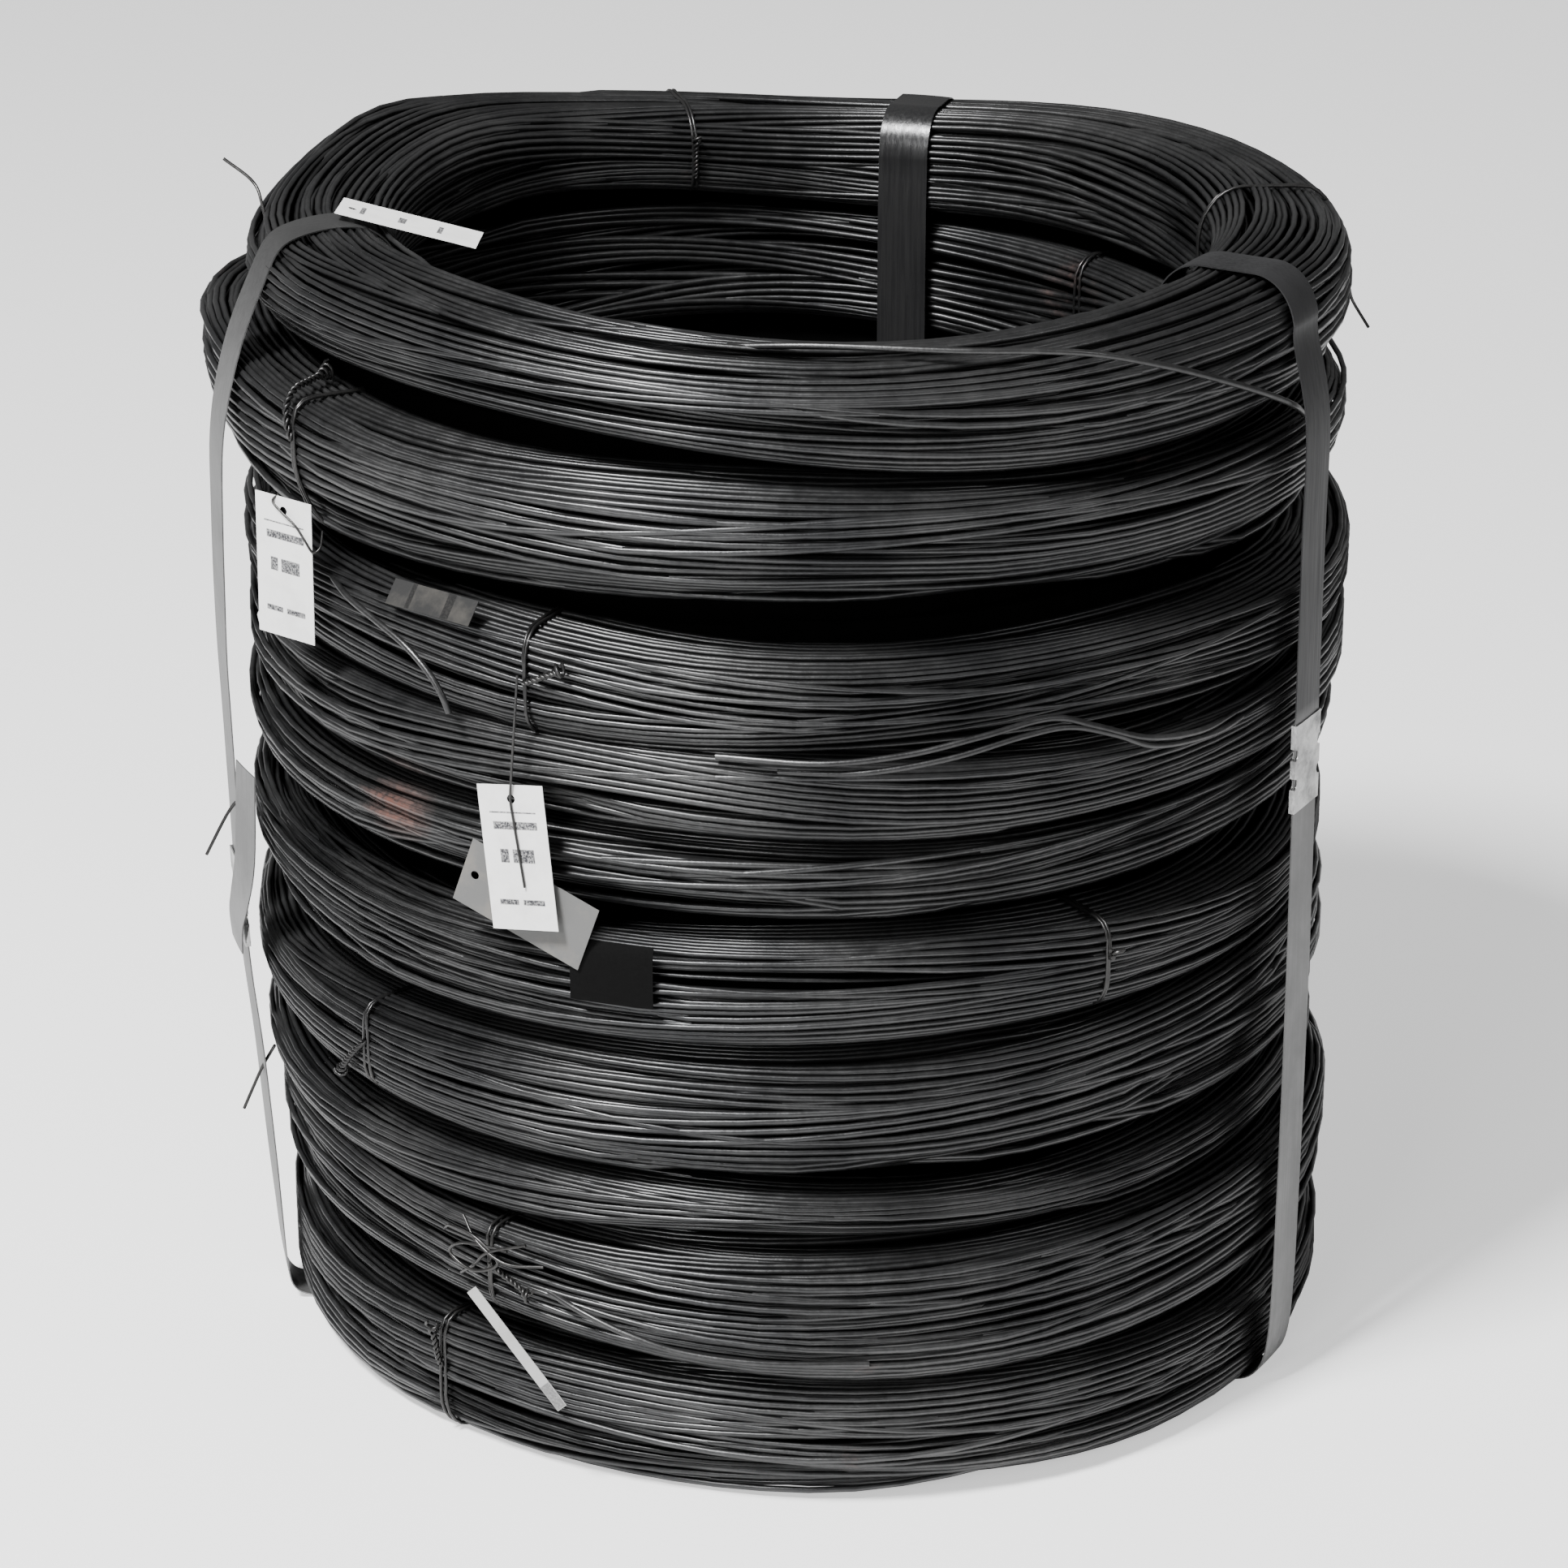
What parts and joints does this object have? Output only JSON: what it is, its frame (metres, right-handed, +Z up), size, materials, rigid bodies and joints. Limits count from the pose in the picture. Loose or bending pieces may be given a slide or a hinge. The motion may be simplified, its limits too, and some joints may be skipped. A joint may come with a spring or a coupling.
{
  "type": "strapped stack of annealed wire coils",
  "caption": "Upright strapped stack of soft black annealed wire coils around an open bore, with flat steel straps, crimped seals, tie wires and paper tags.",
  "frame": {"origin": "centre of the underside, on the floor the stack stands on", "axes": "+Z up along the bore, -Y towards the side with the tags"},
  "size_m": [0.6819, 0.674, 0.6987],
  "materials": {
    "wire": "black annealed, satin",
    "tie": "soft annealed, satin",
    "strap": "waxed dark steel, glossy",
    "seal": "bright zinc, crimped",
    "tag": "matt manila card",
    "tape": "black vinyl tape"
  },
  "bodies": {
    "root": {"coil_1": "wire", "coil_10": "wire", "coil_10_ties": "tie", "coil_1_ties": "tie", "coil_2": "wire", "coil_2_ties": "tie", "coil_3": "wire", "coil_3_ties": "tie", "coil_4": "wire", "coil_4_ties": "tie", "coil_5": "wire", "coil_5_ties": "tie", "coil_6": "wire", "coil_6_ties": "tie", "coil_7": "wire", "coil_7_ties": "tie", "coil_8": "wire", "coil_8_ties": "tie", "coil_9": "wire", "coil_9_ties": "tie", "seal_back": "seal", "seal_left": "seal", "seal_right": "seal", "strap_back": "strap", "strap_left": "strap", "strap_right": "strap", "tag_bore": "tag", "tag_front": "tag", "tag_front_wire": "tie", "tag_groove": "tag", "tag_left": "tag", "tag_low": "tag", "tag_under": "tag", "tape_patch": "tape"}
  },
  "joints": []
}
